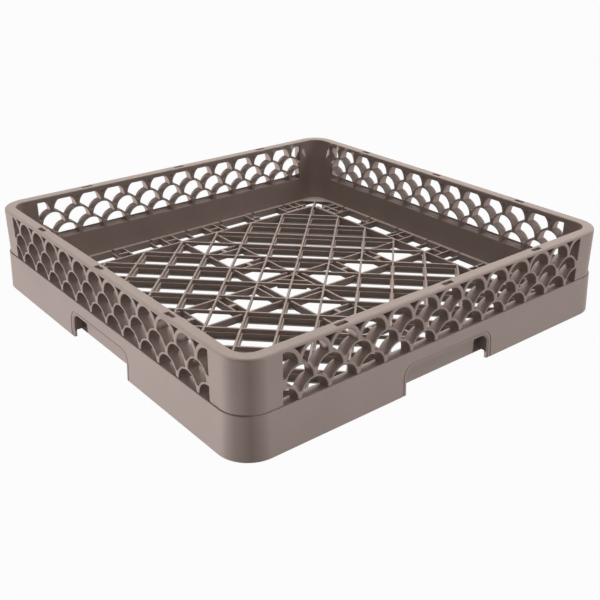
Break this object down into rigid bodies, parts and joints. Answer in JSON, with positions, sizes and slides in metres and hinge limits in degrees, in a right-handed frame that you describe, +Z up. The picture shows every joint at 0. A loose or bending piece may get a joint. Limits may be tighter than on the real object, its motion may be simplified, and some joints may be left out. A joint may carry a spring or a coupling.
{
  "type": "dishwasher cutlery rack",
  "caption": "Square open plastic basket with scale-pierced walls, a diagonal rib floor and a handle notch in each side, for washing loose cutlery in a dishwasher.",
  "frame": {"origin": "centre of the square foot, on the surface that the rack stands on", "axes": "+Z up out of the basket's mouth; X and Y along the sides"},
  "size_m": [0.5, 0.5, 0.0975],
  "materials": {
    "polypropylene": "satin moulded taupe polypropylene"
  },
  "bodies": {
    "root": {"rack": "polypropylene"}
  },
  "joints": []
}
